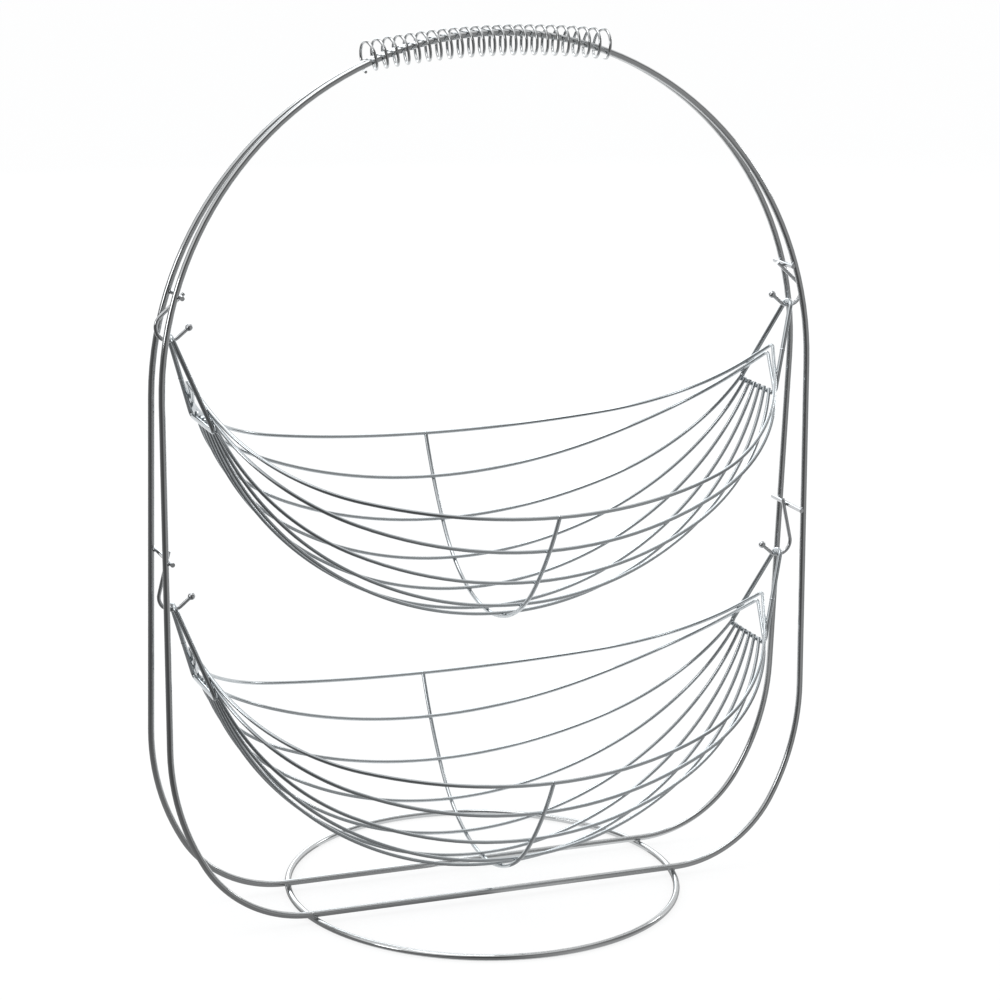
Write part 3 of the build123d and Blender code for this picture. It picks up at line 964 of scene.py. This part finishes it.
class BuildStage(bpy.types.Operator):
    """Sets the floor, the studio light and the camera"""

    bl_idname = "wire_basket.stage"
    bl_label = "Stage"

    def execute(self, context):
        scene = context.scene
        stage = scene.stage_sizes
        self.add_floor(stage)
        self.add_world(scene, stage)
        self.add_tent(stage)
        self.add_lamps(scene)
        self.add_camera(scene, stage)
        scene.view_settings.view_transform = "Standard"
        return {"FINISHED"}

    def seen_rays(self, tree, strength):
        """The strength for rays of the camera and of shiny and clear surfaces, and 0 for the rest."""
        rays = add_node(tree, "LightPath")
        seen = rays.outputs["Is Camera Ray"]
        for name in ("Is Glossy Ray", "Is Transmission Ray"):
            either = {"operation": "MAXIMUM"}
            seen = add_node(tree, "Math", either, {0: seen, 1: rays.outputs[name]}).outputs[0]
        scaled = {0: seen, 1: strength}
        return add_node(tree, "Math", {"operation": "MULTIPLY"}, scaled).outputs[0]

    def add_floor(self, stage):
        """A wide white floor that keeps the object's soft shadow."""
        shape = bmesh.new()
        bmesh.ops.create_grid(shape, x_segments=1, y_segments=1, size=FLOOR_HALF)
        floor = add_object("floor", shape)
        # Matt white paint, which shows no gloss and fades into the white room
        material = bpy.data.materials.new("matt_white_floor")
        tree = empty_tree(material)
        paint = add_node(tree, "BsdfDiffuse", inputs={"Color": [*stage.floor, 1]})
        white = add_node(tree, "Emission", inputs={"Color": [1, 1, 1, 1], "Strength": 1.0})
        mixed = {"Fac": self.seen_rays(tree, stage.floor_white), 1: paint.outputs[0], 2: white.outputs[0]}
        mix = add_node(tree, "MixShader", inputs=mixed)
        add_node(tree, "OutputMaterial", inputs={"Surface": mix.outputs[0]})
        floor.data.materials.append(material)

    def add_world(self, scene, stage):
        """An even white room."""
        world = bpy.data.worlds.new("studio_room")
        tree = empty_tree(world)
        plain = {"Color": [1, 1, 1, 1], "Strength": stage.room_light}
        light = add_node(tree, "Background", inputs=plain)
        white = add_node(tree, "Background", inputs={**plain, "Strength": 1.0})
        mixed = {"Fac": self.seen_rays(tree, 1.0), 1: light.outputs[0], 2: white.outputs[0]}
        mix = add_node(tree, "MixShader", inputs=mixed)
        add_node(tree, "OutputWorld", inputs={"Surface": mix.outputs[0]})
        scene.world = world

    def add_tent(self, stage):
        """Painted reflection: glowing cards on the floor and a tent round the camera, with painted dark
        bands and painted light panels, which only the plating shows.
        """
        shape = bmesh.new()
        to_camera = Vector((math.sin(stage.azimuth), -math.cos(stage.azimuth), 0))
        start = Matrix.Rotation(-stage.tent_sweep, 3, UP) @ to_camera
        inner = shape.verts.new(start * stage.tent_start + UP * MM)
        outer = shape.verts.new(start * stage.tent_radius + UP * MM)
        shape.edges.new((inner, outer))
        bmesh.ops.spin(
            shape, geom=[outer], cent=(0, 0, 0), axis=start.cross(UP), angle=math.pi / 2,
            steps=TENT_RISE_STEPS,
        )
        bmesh.ops.spin(
            shape, geom=shape.verts[:] + shape.edges[:], cent=(0, 0, 0), axis=UP,
            angle=2 * stage.tent_sweep, steps=TENT_SWEEP_STEPS,
        )
        bmesh.ops.remove_doubles(shape, verts=shape.verts, dist=MM)
        tent = add_object("dark_tent", shape)
        # Invisible to the camera, to diffuse light and to shadows: its glow is painted reflection that
        # lights nothing
        tent.visible_camera = tent.visible_diffuse = tent.visible_shadow = False
        tent.data.materials.append(self.tent_painted_reflection(stage, to_camera))

    def tent_painted_reflection(self, stage, to_camera):
        """The tent's glow: painted dark bands, painted light panels in it and painted light on the cards
        beside the object.
        """
        # Painted reflection, a glow and no lit cloth, which paints the dark bands that tell the plating
        # from the white room
        material = bpy.data.materials.new("dark_cloth")
        tree = empty_tree(material)
        place = add_node(tree, "TexCoord").outputs["Object"]
        aim = add_node(tree, "VectorMath", {"operation": "NORMALIZE"}, {0: place})
        # Painted light on the floor cards near the object, full out to one distance and gone at the other
        far = add_node(tree, "VectorMath", {"operation": "LENGTH"}, {0: place})
        levels = {"Value": far.outputs["Value"], "To Min": stage.near_painted_light, "To Max": 0.0}
        levels.update({"From Min": stage.near_full, "From Max": stage.near_end})
        shade = add_node(tree, "MapRange", inputs=levels).outputs["Result"]
        left = to_camera.cross(UP)
        # Painted reflection: a painted dark front that lightens towards the sides, and painted light panels
        # high on the left, on the right and overhead
        # Direction of each panel, the cosines at which it begins and is full, and the brightness at both
        panels = (
            (to_camera, -0.5, 1.0, stage.tent_sides, stage.tent_front),
            (to_camera + left * 1.4 + UP * 1.6, 0.8, 0.93, 0.0, stage.upper_panel),
            (to_camera - left * 1.2 + UP * 0.2, 0.75, 0.95, 0.0, stage.right_panel),
            (UP, 0.7, 0.92, 0.0, stage.top_panel),
        )
        for way, begin, full, outside, inside in panels:
            ways = {0: aim.outputs["Vector"], 1: way.normalized()}
            cosine = add_node(tree, "VectorMath", {"operation": "DOT_PRODUCT"}, ways)
            levels = {"Value": cosine.outputs["Value"], "To Min": outside, "To Max": inside}
            levels.update({"From Min": begin, "From Max": full})
            panel = add_node(tree, "MapRange", {"interpolation_type": "SMOOTHSTEP"}, levels)
            total = add_node(tree, "Math", inputs={0: shade, 1: panel.outputs["Result"]})
            shade = total.outputs["Value"]
        # A glow that is no lamp: the painted reflection's brightness
        glow = add_node(tree, "Emission", inputs={"Strength": shade})
        add_node(tree, "OutputMaterial", inputs={"Surface": glow.outputs[0]})
        return material

    def add_lamps(self, scene):
        """Soft boxes: one above, one at each side and a wide cool one high behind."""
        for name, place, size, energy, tint in LAMPS:
            lamp = bpy.data.lights.new(name, "AREA")
            lamp.shape = "SQUARE"
            lamp.size = size
            lamp.energy = energy
            lamp.color = linear(tint)
            holder = bpy.data.objects.new(name, lamp)
            holder.location = place
            holder.rotation_euler = (LAMP_AIM - Vector(place)).to_track_quat("-Z", "Y").to_euler()
            scene.collection.objects.link(holder)

    def add_camera(self, scene, stage):
        """The camera at the photograph's angle."""
        sight = Vector((
            -math.sin(stage.azimuth) * math.cos(stage.elevation),
            math.cos(stage.azimuth) * math.cos(stage.elevation),
            -math.sin(stage.elevation),
        ))
        aside = Vector((math.cos(stage.azimuth), math.sin(stage.azimuth), 0))
        aim = aside * stage.aim_side + UP * stage.aim_height
        lens = bpy.data.cameras.new("photo_camera")
        lens.lens = stage.lens
        lens.sensor_width = SENSOR
        lens.clip_end = FAR_SIGHT
        camera = bpy.data.objects.new("photo_camera", lens)
        camera.location = aim - sight * stage.distance
        turn = sight.to_track_quat("-Z", "Y") @ Matrix.Rotation(stage.roll, 3, "Z").to_quaternion()
        camera.rotation_euler = turn.to_euler()
        scene.collection.objects.link(camera)
        scene.camera = camera


class WireBasketPanel(bpy.types.Panel):
    """Lists the pieces and the sizes that shape them"""

    bl_idname = "VIEW3D_PT_wire_basket"
    bl_label = "Tiered wire basket"
    bl_space_type = "VIEW_3D"
    bl_region_type = "UI"
    bl_category = "Wire basket"

    def draw(self, context):
        for operator in OPERATORS:
            self.layout.operator(operator.bl_idname)
        for name, group in GROUPS.items():
            box = self.layout.box()
            box.label(text=group.__doc__)
            for key in group.__annotations__:
                box.prop(getattr(context.scene, name), key)


GROUPS = {
    "hoop_sizes": HoopSizes,
    "spring_sizes": SpringSizes,
    "hook_sizes": HookSizes,
    "hanger_sizes": HangerSizes,
    "bowl_sizes": BowlSizes,
    "weld_sizes": WeldSizes,
    "chrome_look": ChromeLook,
    "stage_sizes": StageSizes,
}
OPERATORS = (
    BuildHoops,
    BuildRing,
    BuildSpring,
    BuildHooks,
    BuildHangers,
    BuildLongWires,
    BuildLoops,
    BuildRibs,
    BuildStage,
)


def register():
    """Adds the sizes, the operators and the panel."""
    for name, group in GROUPS.items():
        bpy.utils.register_class(group)
        setattr(bpy.types.Scene, name, bpy.props.PointerProperty(type=group))
    for entry in (*OPERATORS, WireBasketPanel):
        bpy.utils.register_class(entry)


def unregister():
    """Takes the panel, the operators and the sizes away again."""
    for entry in (WireBasketPanel, *reversed(OPERATORS)):
        bpy.utils.unregister_class(entry)
    for name, group in reversed(GROUPS.items()):
        delattr(bpy.types.Scene, name)
        bpy.utils.unregister_class(group)


def main():
    """Builds every piece round the frame."""
    register()
    bpy.ops.wire_basket.hoops()
    bpy.ops.wire_basket.ring()
    bpy.ops.wire_basket.spring()
    bpy.ops.wire_basket.hooks()
    bpy.ops.wire_basket.hangers()
    bpy.ops.wire_basket.long_wires()
    bpy.ops.wire_basket.loops()
    bpy.ops.wire_basket.ribs()
    bpy.ops.wire_basket.stage()


if __name__ == "__main__":
    main()
